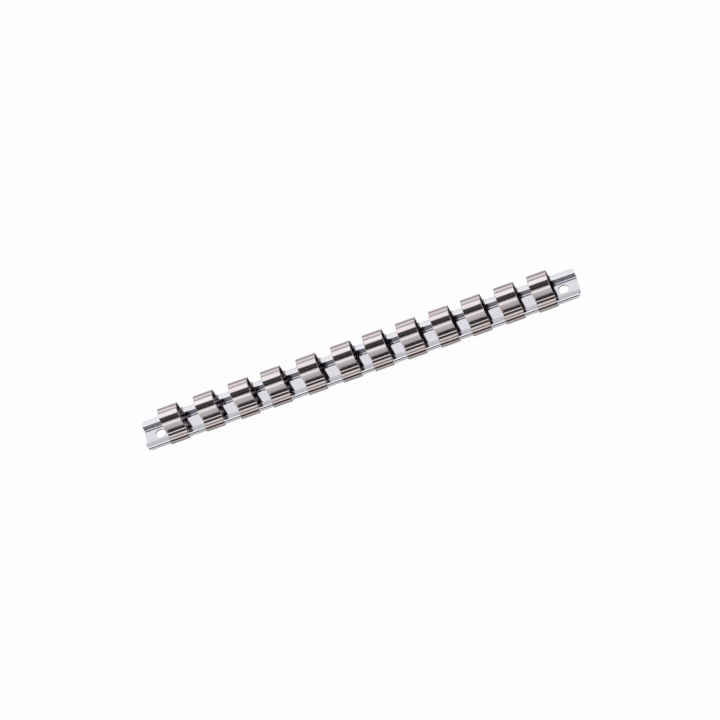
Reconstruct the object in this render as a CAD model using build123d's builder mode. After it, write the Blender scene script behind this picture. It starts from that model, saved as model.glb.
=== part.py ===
# Socket rail: a rolled steel channel rail with twelve sprung clips for half-inch square-drive sockets.
# Millimetres. X runs along the rail, +Y is its far side, +Z is up.
# The origin is the middle of the rail's length and width, on the underside of its web.

import os
from math import cos, radians, tan

from build123d import *

os.makedirs("parts", exist_ok=True)

# The rail: one sheet of steel, rolled to a shallow channel with a flange along each side
rail_length = 280.0
rail_width = 20.8
rail_sheet = 1.0
rail_height = 4.55
rail_channel_width = 11.5
rail_flange_droop_degrees = 2.7
rail_lip_depth = 2.55
rail_corner_radius = 3.0

# The rail's bends, on the inside of each
rail_edge_radius = 0.3
rail_shoulder_radius = 0.1
rail_root_radius = 0.65

# The two fixing holes in the web
hole_diameter = 6.2
hole_to_end = 9.45

# The clip: one strip of spring steel, bent to an upright loop that a socket's square drive pushes over
drive_size = 12.7
clip_strip = 0.7
clip_width = 12.2
loop_height = 17.5
loop_root_pinch = 0.18
loop_lean_degrees = 1.5
loop_root_share = 0.9
loop_crown_share = 0.93

# The clip's feet, which lie on the flanges and hook under the lips
clip_seat_clearance = 0.03
clip_side_clearance = 0.1
clip_hook_clearance = 0.2
clip_hook_radius = 0.35
clip_hook_length = 2.2

# Where the clips stand, as shares of the rail's length from its left end
clip_place_shares = [
    0.075,
    0.158,
    0.239,
    0.314,
    0.396,
    0.476,
    0.549,
    0.625,
    0.701,
    0.774,
    0.850,
    0.925,
]

overrun = 1.0

# The rail's section, as the middle line of its sheet. The flanges droop a little towards their lips
droop = tan(radians(rail_flange_droop_degrees))
web_line = rail_sheet / 2
shoulder_line = rail_height - rail_sheet / 2
wall_line = rail_channel_width / 2 + rail_sheet / 2
lip_line = rail_width / 2 - rail_sheet / 2
edge_line = shoulder_line - (lip_line - wall_line) * droop
lip_end = rail_height - rail_lip_depth

half_rail_points = [
    (lip_line, lip_end),
    (lip_line, edge_line),
    (wall_line, shoulder_line),
    (wall_line, web_line),
]
half_rail_radii = [
    rail_edge_radius + rail_sheet / 2,
    rail_shoulder_radius + rail_sheet / 2,
    rail_root_radius + rail_sheet / 2,
]
rail_points = [(-y, z) for y, z in half_rail_points] + half_rail_points[::-1]
rail_radii = half_rail_radii + half_rail_radii[::-1]

with BuildPart() as rail:
    with BuildSketch(Plane.YZ):
        with BuildLine():
            rail_side = FilletPolyline(*rail_points, radius=rail_radii)
        trace(rail_side, line_width=rail_sheet)
    extrude(amount=rail_length / 2, both=True)
    # The flanges' corners are rounded in plan
    with BuildSketch(Plane.XY.offset(-overrun)):
        RectangleRounded(rail_length, rail_width, rail_corner_radius)
    extrude(amount=rail_height + 2 * overrun, mode=Mode.INTERSECT)
    # The fixing holes, one near each end
    with GridLocations(rail_length - 2 * hole_to_end, 0, 2, 1):
        Hole(hole_diameter / 2)

rail.part.label = "rail"
export_step(rail.part, "parts/rail.step")

# The clip's section, as the middle line of its strip. Its feet follow the flanges' slope, and its legs
# lean out from a narrow root to the crown, so that a socket springs them in and then stays on
seat_rise = (rail_sheet / 2 + clip_seat_clearance + clip_strip / 2) / cos(radians(rail_flange_droop_degrees))
foot_line = rail_width / 2 + clip_side_clearance + clip_strip / 2
foot_bend_line = shoulder_line + seat_rise - (foot_line - wall_line) * droop
foot_bend_radius = rail_edge_radius + rail_sheet + clip_side_clearance + clip_strip / 2
hook_line = lip_end - clip_hook_clearance - clip_strip / 2
hook_tip = foot_line - clip_hook_length
root_line = drive_size / 2 - loop_root_pinch - clip_strip / 2
root_bend_line = shoulder_line + seat_rise - (root_line - wall_line) * droop
root_bend_radius = loop_root_share * (foot_line - root_line - foot_bend_radius)
crown_line = rail_height + loop_height - clip_strip / 2
crown_side_line = root_line + (crown_line - root_bend_line) * tan(radians(loop_lean_degrees))
crown_radius = loop_crown_share * crown_side_line

half_clip_points = [
    (hook_tip, hook_line),
    (foot_line, hook_line),
    (foot_line, foot_bend_line),
    (root_line, root_bend_line),
    (crown_side_line, crown_line),
]
half_clip_radii = [
    clip_hook_radius + clip_strip / 2,
    foot_bend_radius,
    root_bend_radius,
    crown_radius,
]
clip_points = [(-y, z) for y, z in half_clip_points] + half_clip_points[::-1]
clip_radii = half_clip_radii + half_clip_radii[::-1]

for number, place_share in enumerate(clip_place_shares, start=1):
    clip_middle = (place_share - 1 / 2) * rail_length
    with BuildPart() as clip:
        with BuildSketch(Plane.YZ.offset(clip_middle)):
            with BuildLine():
                clip_side = FilletPolyline(*clip_points, radius=clip_radii)
            trace(clip_side, line_width=clip_strip)
        extrude(amount=clip_width / 2, both=True)

    clip.part.label = f"clip_{number:02d}"
    export_step(clip.part, f"parts/clip_{number:02d}.step")
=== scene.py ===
# %% [markdown]
# A socket rail is about the simplest thing in a tool box: one rolled steel channel, and twelve clips of
# spring steel that slide along it. There is no cloth, cord or paint here. Everything rides on two
# things: bends that are truly round and smooth, and bright metal that has something worth reflecting.
#
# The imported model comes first. Every new piece is made around it, in metres, in the same frame.

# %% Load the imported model
from math import atan2, cos, degrees, hypot, pi, radians, sin, tan

import bpy
from mathutils import Matrix, Vector


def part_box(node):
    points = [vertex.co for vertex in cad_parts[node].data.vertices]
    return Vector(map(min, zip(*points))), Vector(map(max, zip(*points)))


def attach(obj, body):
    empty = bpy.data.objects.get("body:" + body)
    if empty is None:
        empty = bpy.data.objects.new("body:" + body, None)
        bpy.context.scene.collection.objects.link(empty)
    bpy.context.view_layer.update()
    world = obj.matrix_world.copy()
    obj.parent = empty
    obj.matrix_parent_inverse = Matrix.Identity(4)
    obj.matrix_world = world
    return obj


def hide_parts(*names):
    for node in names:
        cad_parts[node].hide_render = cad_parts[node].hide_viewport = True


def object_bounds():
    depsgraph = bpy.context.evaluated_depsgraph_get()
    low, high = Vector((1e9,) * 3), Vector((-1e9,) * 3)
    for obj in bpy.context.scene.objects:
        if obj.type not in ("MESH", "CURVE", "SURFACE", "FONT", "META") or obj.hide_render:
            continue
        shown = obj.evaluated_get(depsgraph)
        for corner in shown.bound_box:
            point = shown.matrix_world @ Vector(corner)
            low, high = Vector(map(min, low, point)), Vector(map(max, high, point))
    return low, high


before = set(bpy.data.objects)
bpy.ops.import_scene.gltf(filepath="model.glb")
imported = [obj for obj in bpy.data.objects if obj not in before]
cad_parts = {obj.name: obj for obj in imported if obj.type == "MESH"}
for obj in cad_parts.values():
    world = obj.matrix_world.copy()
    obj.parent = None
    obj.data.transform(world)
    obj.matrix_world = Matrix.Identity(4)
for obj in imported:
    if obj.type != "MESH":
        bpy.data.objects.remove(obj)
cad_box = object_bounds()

mm = 0.001
low, high = cad_box
print("CAD box, mm:", [round((b - a) / mm, 2) for a, b in zip(low, high)])

# %% [markdown]
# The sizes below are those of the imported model. The rail is 280 mm long and 20.8 mm wide, rolled
# from sheet 1 mm thick. Each clip is a strip 12.2 mm wide and 0.7 mm thick, bent to a loop that is a
# little wider than the half-inch square hole of a socket, so that it has to be squeezed to go in.

# %% Sizes of the rail and of one clip
rail_length = 280 * mm
rail_width = 20.8 * mm
rail_sheet = 1 * mm
rail_height = 4.55 * mm
rail_channel_width = 11.5 * mm
rail_flange_droop = radians(2.7)
rail_lip_depth = 2.55 * mm
rail_corner_radius = 3 * mm
rail_edge_radius = 0.3 * mm
rail_shoulder_radius = 0.1 * mm
rail_root_radius = 0.65 * mm
hole_radius = 3.1 * mm
hole_to_end = 9.45 * mm
rail_edge_break = 0.15 * mm

drive_size = 12.7 * mm
clip_strip = 0.7 * mm
clip_width = 12.2 * mm
loop_height = 17.5 * mm
loop_root_pinch = 0.18 * mm
loop_lean = radians(1.5)
loop_root_share = 0.9
loop_crown_share = 0.93
clip_seat_clearance = 0.03 * mm
clip_side_clearance = 0.1 * mm
clip_hook_clearance = 0.2 * mm
clip_hook_radius = 0.35 * mm
clip_hook_length = 2.2 * mm
clip_edge_break = 0.33 * mm

clip_names = sorted(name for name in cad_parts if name.startswith("clip_"))
print(len(clip_names), "clips on one rail")

# %% [markdown]
# Sheet metal is bent, not cast, so it is modelled the way it is made. A flat strip is added as a
# plane, and its far edge is extruded from one bend line to the next, like a strip fed through a
# press. The corners are sharp at first. Then each bend line is bevelled to its own radius, and
# Solidify gives the sheet its thickness. A curve with a bevel profile could draw the same section,
# but then the long flats and the tight bends would share one resolution.

# %% Helpers for modelling by hand
def only(piece):
    """Leave one object selected and active."""
    for other in bpy.context.selected_objects:
        other.select_set(False)
    piece.select_set(True)
    bpy.context.view_layer.objects.active = piece


def select_edges(piece, test):
    """Select the edges whose two ends both pass a test, and stay in edit mode."""
    bpy.ops.object.mode_set(mode="EDIT")
    bpy.ops.mesh.select_mode(type="EDGE")
    bpy.ops.mesh.select_all(action="DESELECT")
    bpy.ops.object.mode_set(mode="OBJECT")
    for edge in piece.data.edges:
        ends = [piece.data.vertices[i].co for i in edge.vertices]
        edge.select = all(test(end) for end in ends)
    bpy.ops.object.mode_set(mode="EDIT")


def modify(piece, kind, **settings):
    """Add a modifier, set it up and apply it."""
    modifier = piece.modifiers.new(kind.title(), kind)
    for key, value in settings.items():
        setattr(modifier, key, value)
    only(piece)
    bpy.ops.object.modifier_apply(modifier=modifier.name)


near = 0.02 * mm
bend_segments = 14


def bent_strip(name, width, path, radii, thickness):
    """A strip, width wide along X, that follows path, a list of (y, z), with a bend radius at each turn."""
    (y0, z0), (y1, z1) = path[0], path[1]
    bpy.ops.mesh.primitive_plane_add(size=1, location=(0, (y0 + y1) / 2, (z0 + z1) / 2))
    strip = bpy.context.object
    strip.name = name
    strip.scale = (width, hypot(y1 - y0, z1 - z0), 1)
    strip.rotation_euler = (atan2(z1 - z0, y1 - y0), 0, 0)
    only(strip)
    bpy.ops.object.transform_apply(location=True, rotation=True, scale=True)
    # Extrude from one bend line to the next
    for (ya, za), (yb, zb) in zip(path[1:], path[2:]):
        select_edges(strip, lambda p: hypot(p.y - ya, p.z - za) < near)
        bpy.ops.mesh.extrude_edges_move(TRANSFORM_OT_translate={"value": (0, yb - ya, zb - za)})
    # Round each bend line
    for before, bend, after, radius in zip(path, path[1:], path[2:], radii):
        turn_in = atan2(bend[1] - before[1], bend[0] - before[0])
        turn_out = atan2(after[1] - bend[1], after[0] - bend[0])
        turn = abs((turn_out - turn_in + pi) % (2 * pi) - pi)
        select_edges(strip, lambda p: hypot(p.y - bend[0], p.z - bend[1]) < near)
        steps = max(4, round(bend_segments * turn / (pi / 2)))
        bpy.ops.mesh.bevel(offset=radius * tan(turn / 2), segments=steps, profile=0.5, affect="EDGES")
    bpy.ops.object.mode_set(mode="OBJECT")
    modify(strip, "SOLIDIFY", thickness=thickness, offset=0, use_even_offset=True)
    return strip


weld_distance = 0.001 * mm
cut_edge_angle = radians(50)


def finish_metal(piece, edge_break):
    """Break the cut edges, then shade the bends smooth and keep the flats flat."""
    modify(piece, "BEVEL", width=edge_break, segments=3, limit_method="ANGLE", angle_limit=cut_edge_angle)
    only(piece)
    bpy.ops.object.mode_set(mode="EDIT")
    bpy.ops.mesh.select_all(action="SELECT")
    bpy.ops.mesh.remove_doubles(threshold=weld_distance)
    bpy.ops.mesh.normals_make_consistent(inside=False)
    bpy.ops.object.mode_set(mode="OBJECT")
    bpy.ops.object.shade_smooth()
    modify(piece, "WEIGHTED_NORMAL", mode="FACE_AREA", weight=80, keep_sharp=True)
    print(piece.name, "faces:", len(piece.data.polygons))

# %% [markdown]
# The rail is a shallow channel: a flat web, two short walls, and a flange along each side whose
# outer edge is turned down to hold the clips. All of it is one sheet, so it is one bent strip, as
# long as the rail. Its flanges are rounded at the four corners, which is a cut straight through
# both flange and lip, so a block with rounded corners is intersected with the strip. The two
# fixing holes are cut with a cylinder.

# %% The rail
droop = tan(rail_flange_droop)
web_line = rail_sheet / 2
shoulder_line = rail_height - rail_sheet / 2
wall_line = rail_channel_width / 2 + rail_sheet / 2
lip_line = rail_width / 2 - rail_sheet / 2
edge_line = shoulder_line - (lip_line - wall_line) * droop
lip_end = rail_height - rail_lip_depth

rail_half = [(lip_line, lip_end), (lip_line, edge_line), (wall_line, shoulder_line), (wall_line, web_line)]
rail_path = [(-y, z) for y, z in rail_half] + rail_half[::-1]
rail_half_bends = (rail_edge_radius, rail_shoulder_radius, rail_root_radius)
rail_half_radii = [inside_radius + rail_sheet / 2 for inside_radius in rail_half_bends]
rail_radii = rail_half_radii + rail_half_radii[::-1]
rail = bent_strip("steel_rail", rail_length, rail_path, rail_radii, rail_sheet)

cut_depth = 20 * mm
side_margin = 0.01 * mm
corner_segments = 12
bpy.ops.mesh.primitive_cube_add(size=1, location=(0, 0, 0))
corner_block = bpy.context.object
corner_block.scale = (rail_length, rail_width + side_margin, cut_depth * 2)
only(corner_block)
bpy.ops.object.transform_apply(location=True, rotation=True, scale=True)
for corner_x in (-1, 1):
    for corner_y in (-1, 1):
        select_edges(corner_block, lambda p: p.x * corner_x > rail_length / 2 - near
                     and p.y * corner_y > rail_width / 2 - near)
        bpy.ops.mesh.bevel(offset=rail_corner_radius, segments=corner_segments, profile=0.5, affect="EDGES")
        bpy.ops.object.mode_set(mode="OBJECT")
modify(rail, "BOOLEAN", object=corner_block, operation="INTERSECT", solver="EXACT")
bpy.data.objects.remove(corner_block)

hole_facets = 64
for side in (-1, 1):
    hole_x = side * (rail_length / 2 - hole_to_end)
    bpy.ops.mesh.primitive_cylinder_add(
        vertices=hole_facets, radius=hole_radius, depth=cut_depth, location=(hole_x, 0, 0))
    punch = bpy.context.object
    only(punch)
    bpy.ops.object.transform_apply(location=True, rotation=True, scale=True)
    modify(rail, "BOOLEAN", object=punch, operation="DIFFERENCE", solver="EXACT")
    bpy.data.objects.remove(punch)
finish_metal(rail, rail_edge_break)

# %% [markdown]
# A clip is one strip too. It starts at a hook under the near flange's lip, comes up over the flange,
# lies along it, turns up into the loop, goes over the top and comes down the same way. The legs
# lean out a little on their way up, so the loop is widest where its crown begins: that is what
# snaps into the socket. The twelve are alike, so only one is modelled.

# %% One clip
seat_rise = (rail_sheet / 2 + clip_seat_clearance + clip_strip / 2) / cos(rail_flange_droop)
foot_line = rail_width / 2 + clip_side_clearance + clip_strip / 2
foot_bend_line = shoulder_line + seat_rise - (foot_line - wall_line) * droop
foot_bend_radius = rail_edge_radius + rail_sheet + clip_side_clearance + clip_strip / 2
hook_line = lip_end - clip_hook_clearance - clip_strip / 2
hook_tip = foot_line - clip_hook_length
root_line = drive_size / 2 - loop_root_pinch - clip_strip / 2
root_bend_line = shoulder_line + seat_rise - (root_line - wall_line) * droop
root_bend_radius = loop_root_share * (foot_line - root_line - foot_bend_radius)
crown_line = rail_height + loop_height - clip_strip / 2
crown_side_line = root_line + (crown_line - root_bend_line) * tan(loop_lean)
crown_radius = loop_crown_share * crown_side_line

clip_half = [
    (hook_tip, hook_line),
    (foot_line, hook_line),
    (foot_line, foot_bend_line),
    (root_line, root_bend_line),
    (crown_side_line, crown_line),
]
clip_half_radii = [clip_hook_radius + clip_strip / 2, foot_bend_radius, root_bend_radius, crown_radius]
clip_path = [(-y, z) for y, z in clip_half] + clip_half[::-1]
clip_radii = clip_half_radii + clip_half_radii[::-1]
model_clip = bent_strip("model_clip", clip_width, clip_path, clip_radii, clip_strip)
finish_metal(model_clip, clip_edge_break)

# %% [markdown]
# The twelve clips are copies of that one. Linked copies could share one mesh, but each clip's place
# goes into its mesh while the object stays at the origin, so each copy has a mesh of its own. The
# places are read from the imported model.

# %% Twelve clips along the rail
clips = {}
for name in clip_names:
    node_low, node_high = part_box(name)
    clip_middle = (node_low[0] + node_high[0]) / 2
    piece = model_clip.copy()
    piece.data = model_clip.data.copy()
    piece.name = "steel_" + name
    piece.data.transform(Matrix.Translation((clip_middle, 0, 0)))
    bpy.context.collection.objects.link(piece)
    clips[name] = piece
bpy.data.objects.remove(model_clip)
print("clips placed:", len(clips))

# %% [markdown]
# Shader maths reads best as plain sums. The small class below wraps a node's socket, so that
# adding, subtracting or multiplying makes the Math node that does it. One method makes every node,
# and another mixes two colours, because a Math node would turn them grey.

# %% Shader helpers
class Sum:
    """A number in a shader, which Python's operators turn into Math nodes."""

    def __init__(self, maker, socket):
        self.maker = maker
        self.socket = socket

    def math(self, operation, *others):
        return self.maker.node("ShaderNodeMath", {"operation": operation}, self, *others)

    def __add__(self, other):
        return self.math("ADD", other)

    def __sub__(self, other):
        return self.math("SUBTRACT", other)

    def __rsub__(self, other):
        return self.maker.node("ShaderNodeMath", {"operation": "SUBTRACT"}, other, self)

    def __mul__(self, other):
        return self.math("MULTIPLY", other)

    __radd__ = __add__
    __rmul__ = __mul__


class Maker:
    """Makes nodes in one node tree."""

    def __init__(self, tree):
        self.tree = tree
        tree.nodes.clear()

    def node(self, kind, settings=None, *values, output=0, **named):
        """Add a node: its settings first, then what goes into its sockets, by order or by name."""
        new = self.tree.nodes.new(kind)
        for key, value in (settings or {}).items():
            if key == "stops":
                set_stops(new.color_ramp, value)
            else:
                setattr(new, key, value)
        pairs = list(enumerate(values)) + [(key.replace("_", " "), value) for key, value in named.items()]
        for key, value in pairs:
            self.feed(new.inputs[key], value)
        return Sum(self, new.outputs[output]) if len(new.outputs) else None

    def feed(self, socket, value):
        """Link a socket to another node, or give it a fixed value."""
        if isinstance(value, Sum):
            self.tree.links.new(value.socket, socket)
        else:
            socket.default_value = value

    def mixed(self, share, first, second, blend="MIX"):
        """Mix two colours. A Mix node keeps its colours in its seventh and eighth sockets."""
        mix = self.node("ShaderNodeMix", {"data_type": "RGBA", "blend_type": blend}, share, output=2)
        self.feed(mix.socket.node.inputs[6], first)
        self.feed(mix.socket.node.inputs[7], second)
        return mix


def set_stops(ramp, stops):
    """Fill a colour ramp from a list of (place, grey)."""
    while len(ramp.elements) < len(stops):
        ramp.elements.new(1)
    for element, (place, grey) in zip(ramp.elements, stops):
        element.position = place
        element.color = (grey, grey, grey, 1)

# %% [markdown]
# The rail is plated bright, with a cool tint. Good plating is nearly a mirror, but rolled sheet is
# never quite flat, so a slow, shallow ripple bends the reflections a little. The fine roughness has
# faint drag lines along the rail, from the rolls. Handling leaves soft smears in the gloss.

# %% Bright plate for the rail
def grain(make, along, across, detail):
    """Noise on Object coordinates, drawn out along the rail: its repeats per metre each way."""
    place = make.node("ShaderNodeTexCoord", output=3)
    place = make.node("ShaderNodeMapping", {}, place, Scale=(along, across, across))
    return make.node("ShaderNodeTexNoise", {}, Vector=place, Scale=1.0, Detail=detail)


def new_material(name):
    """An empty material, and the maker of its nodes."""
    material = bpy.data.materials.new(name)
    material.use_nodes = True
    return material, Maker(material.node_tree)


def metal_finish(make, material, tint, roughness, bump):
    """End a metal's nodes with its shader and its output."""
    shader = make.node(
        "ShaderNodeBsdfPrincipled", {}, Base_Color=tint, Metallic=1.0, Roughness=roughness, Normal=bump)
    make.node("ShaderNodeOutputMaterial", {}, shader)
    return material


plate_shade = (0.87, 0.86, 0.94, 1)
plate_light = (0.93, 0.925, 0.985, 1)
ripple_depth = 0.1 * mm


def bright_plate():
    material, make = new_material("bright_plate")
    lines = grain(make, 12, 2600, detail=3)
    smears = grain(make, 60, 220, detail=4)
    ripple = grain(make, 55, 160, detail=1)
    tint = make.mixed(smears, plate_shade, plate_light)
    roughness = 0.02 + 0.03 * lines + 0.04 * smears
    bump = make.node("ShaderNodeBump", {}, Strength=0.15, Distance=ripple_depth, Height=ripple)
    return metal_finish(make, material, tint, roughness, bump)

# %% [markdown]
# The clips are bare spring steel, warmer and duller than the plating. Cold-rolled strip has fine lines
# along the way it was rolled, which here lie along the rail, as if the strip were cut across its coil. The
# lines are in the height, the gloss and the colour. The feet carry painted shade: their colour is
# multiplied a little darker and warmer than the loops, where the clip lies low on the rail.

# %% Spring steel for the clips
steel_shade = (0.64, 0.575, 0.585, 1)
steel_light = (0.88, 0.80, 0.81, 1)
# Painted shade: this colour multiplies the steel of the feet, below the top of the seat.
foot_painted_shade = (0.74, 0.715, 0.7, 1)
foot_top = rail_height + clip_seat_clearance + clip_strip
foot_fade = 0.5 * mm
line_depth = 0.03 * mm


def spring_steel():
    material, make = new_material("spring_steel")
    lines = grain(make, 40, 3600, detail=4)
    broad = grain(make, 25, 900, detail=2)
    stain = grain(make, 90, 120, detail=4)
    share = make.node("ShaderNodeMapRange", {}, lines * 0.5 + broad * 0.5, 0.3, 0.7)
    tint = make.mixed(share, steel_shade, steel_light)
    place = make.node("ShaderNodeTexCoord", output=3)
    height = make.node("ShaderNodeSeparateXYZ", {}, place, output=2)
    above_foot = make.node("ShaderNodeMapRange", {}, height, foot_top, foot_top + foot_fade)
    # Painted shade: below the seat's top the steel is multiplied darker and warmer.
    tint = make.mixed(1 - above_foot, tint, foot_painted_shade, blend="MULTIPLY")
    roughness = 0.06 + 0.09 * lines + 0.04 * stain
    bump = make.node("ShaderNodeBump", {}, Strength=0.35, Distance=line_depth, Height=lines)
    return metal_finish(make, material, tint, roughness, bump)

# %% [markdown]
# The new pieces get these two metals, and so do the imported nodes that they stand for.

# %% Metal on every piece and node
plate = bright_plate()
steel = spring_steel()
rail.data.materials.append(plate)
for piece in clips.values():
    piece.data.materials.append(steel)
for name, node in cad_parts.items():
    node.data.materials.clear()
    node.data.materials.append(plate if name == "rail" else steel)
print("metals:", plate.name, "and", steel.name)

# %% [markdown]
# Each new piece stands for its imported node, and rides on that node's body, so it slides as the
# joint does.

# %% Every piece on its body
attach(rail, "rail")
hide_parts("rail")
for name, piece in clips.items():
    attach(piece, name)
    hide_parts(name)
print("pieces on their bodies:", 1 + len(clips))

# %% [markdown]
# Bright metal is only as good as what it reflects. Every stripe on the bends is a panel or a gap in
# the tent around the rail, so the tent is drawn as a ramp that runs from the front horizon, over
# the top, to the back horizon. Two gaps matter most: a broad one in front, which reaches up past the
# camera, and a dimmer band just behind the top. The tent is open on the right, which keeps the
# insides of the loops dark where the camera sees into them. Further round, the room has side walls
# with panels of their own. They light the rims of the clips, and give the views from the ends
# something to reflect.
#
# The camera itself sees plain white behind the rail.

# %% The studio's light
# Each panel or gap of the tent: its angle up from the front horizon, and its light
tent_strength = 1.6
tent_degrees = [
    (0, 0.6), (5, 0), (15, 0), (30, 0.1), (45, 0), (55, 0.2), (60, 0), (64, 1.1), (75, 1.2), (90, 1.1),
    (104, 1.3), (112, 0.35), (118, 0.48), (125, 0.8), (135, 0.95), (145, 0.8), (155, 0.25), (165, 0.35),
    (175, 0.85), (180, 0.2),
]
# Where the gap on the right and the side walls fade in, as shares of a direction's reach along X
right_gap = (0.08, 0.25)
room_dark = (0.02, 0.02, 0.02, 1)
wall_start = (0.5, 0.68)
# Each panel or gap of the side walls: its height, where 0.5 is the horizon and 1 overhead, and its light
wall_heights = [
    (0.49, 0.03), (0.52, 1), (0.6, 1), (0.63, 0.04), (0.68, 0.03), (0.71, 0.8), (0.77, 0.9), (0.8, 0.05),
    (0.86, 0.04), (0.9, 0.8), (1, 0.9),
]


def studio_world():
    world = bpy.data.worlds.new("studio")
    bpy.context.scene.world = world
    world.use_nodes = True
    make = Maker(world.node_tree)
    way = make.node("ShaderNodeTexCoord", output=0)
    across = make.node("ShaderNodeSeparateXYZ", {}, way, output=1)
    up = make.node("ShaderNodeSeparateXYZ", {}, way, output=2)
    turn = make.node("ShaderNodeMath", {"operation": "ARCTAN2"}, up, -1 * across) * (1 / pi)
    stops = [(angle / 180, light / tent_strength) for angle, light in tent_degrees]
    tent = make.node("ShaderNodeValToRGB", {"stops": stops}, turn)
    along = make.node("ShaderNodeSeparateXYZ", {}, way, output=0)
    in_gap = make.node("ShaderNodeMapRange", {}, along, *right_gap)
    at_wall = make.node("ShaderNodeMapRange", {}, along.math("ABSOLUTE"), *wall_start)
    wall = make.node("ShaderNodeValToRGB", {"stops": wall_heights}, 0.5 * up + 0.5)
    is_camera = make.node("ShaderNodeLightPath", output=0)
    tent_light = make.node("ShaderNodeBackground", {}, tent, tent_strength)
    dark_room = make.node("ShaderNodeBackground", {}, room_dark, 1.0)
    wall_light = make.node("ShaderNodeBackground", {}, wall, 1.0)
    room = make.node("ShaderNodeMixShader", {}, in_gap, tent_light, dark_room)
    room = make.node("ShaderNodeMixShader", {}, at_wall, room, wall_light)
    plain = make.node("ShaderNodeBackground", {}, (1, 1, 1, 1), 1.0)
    both = make.node("ShaderNodeMixShader", {}, is_camera, room, plain)
    make.node("ShaderNodeOutputWorld", {}, both)


studio_world()
print("panels and gaps in the tent:", len(tent_degrees))

# %% [markdown]
# To the camera the table is nearly plain white. In the metal it glows, bright at a distance, with a painted
# shadow right under the rail, and dark again far in front. That is one more ramp, laid across the table.

# %% The white table
# Each band of the table: its distance in mm behind the rail's middle line, and its light; the dark bands
# near the middle line are a painted shadow
table_glow_and_painted_shadow = [
    (-200, 0), (-60, 1), (-25, 1.05), (-14, 0.5), (0, 0.05), (14, 0.7), (40, 1.4), (100, 1.2), (200, 0.8),
]
table_reach = 200 * mm
table_size = 6
table_drop = 0.2 * mm
camera_white = 0.97


def white_table():
    bpy.ops.mesh.primitive_plane_add(size=table_size, location=(0, 0, -table_drop))
    floor = bpy.context.object
    floor.name = "floor"
    material, make = new_material("white_floor")
    place = make.node("ShaderNodeTexCoord", output=3)
    across = make.node("ShaderNodeSeparateXYZ", {}, place, output=1)
    reach = across * (0.5 / table_reach) + 0.5
    stops = [(y * mm / (2 * table_reach) + 0.5, level / tent_strength) for y, level in table_glow_and_painted_shadow]
    light = make.node("ShaderNodeValToRGB", {"stops": stops}, reach)
    matte = make.node("ShaderNodeBsdfDiffuse", {}, (0.8, 0.8, 0.8, 1))
    glow = make.node("ShaderNodeEmission", {}, (1, 1, 1, 1), tent_strength)
    unlit = make.node("ShaderNodeBsdfDiffuse", {}, (0, 0, 0, 1))
    # Painted shadow: where the ramp is low, right under the rail, the table shows black in the metal.
    in_metal = make.node("ShaderNodeMixShader", {}, light, unlit, glow)
    white = make.node("ShaderNodeEmission", {}, (1, 1, 1, 1), 1.0)
    to_camera = make.node("ShaderNodeMixShader", {}, camera_white, matte, white)
    is_camera = make.node("ShaderNodeLightPath", output=0)
    shader = make.node("ShaderNodeMixShader", {}, is_camera, in_metal, to_camera)
    make.node("ShaderNodeOutputMaterial", {}, shader)
    floor.data.materials.append(material)


white_table()
print("bands on the table:", len(table_glow_and_painted_shadow))

# %% [markdown]
# The photograph looks down on the rail from in front, from far off, and the rail climbs to the
# right in the picture. The camera is aimed by a direction, and then rolled by that climb.

# %% The camera
picture = 720
rail_pixels = 459.4
rail_climb = radians(19.7)
rail_middle_pixel = (358.9, 358.7)
camera_distance = 2.6
view_way = Vector((0.13, -0.568, 0.811)).normalized()

pixel = rail_length * hypot(view_way.y, view_way.z) / rail_pixels
level_right = (Vector((1, 0, 0)) - view_way * view_way.x).normalized()
level_up = view_way.cross(level_right)
right = cos(rail_climb) * level_right - sin(rail_climb) * level_up
up = sin(rail_climb) * level_right + cos(rail_climb) * level_up
off_x = (rail_middle_pixel[0] - picture / 2) * pixel
off_y = (picture / 2 - rail_middle_pixel[1]) * pixel
aim = Vector((0, 0, rail_height)) - right * off_x - up * off_y

camera_data = bpy.data.cameras.new("camera")
camera = bpy.data.objects.new("camera", camera_data)
bpy.context.collection.objects.link(camera)
turn = Matrix((right, up, view_way)).transposed()
camera.matrix_world = Matrix.Translation(aim + view_way * camera_distance) @ turn.to_4x4()
camera_data.sensor_width = 36
camera_data.lens = camera_data.sensor_width * camera_distance / (picture * pixel)
camera_data.clip_end = 20
bpy.context.scene.camera = camera
bpy.context.scene.view_settings.view_transform = "Standard"
elevation = degrees(atan2(view_way.z, hypot(*view_way.xy)))
print("lens", round(camera_data.lens, 1), "elevation", round(elevation, 1))

# %% [markdown]
# Last, a helper turns a box into plain numbers.

# %% A box as plain numbers
def plain(box):
    return [[float(v) for v in corner] for corner in box]
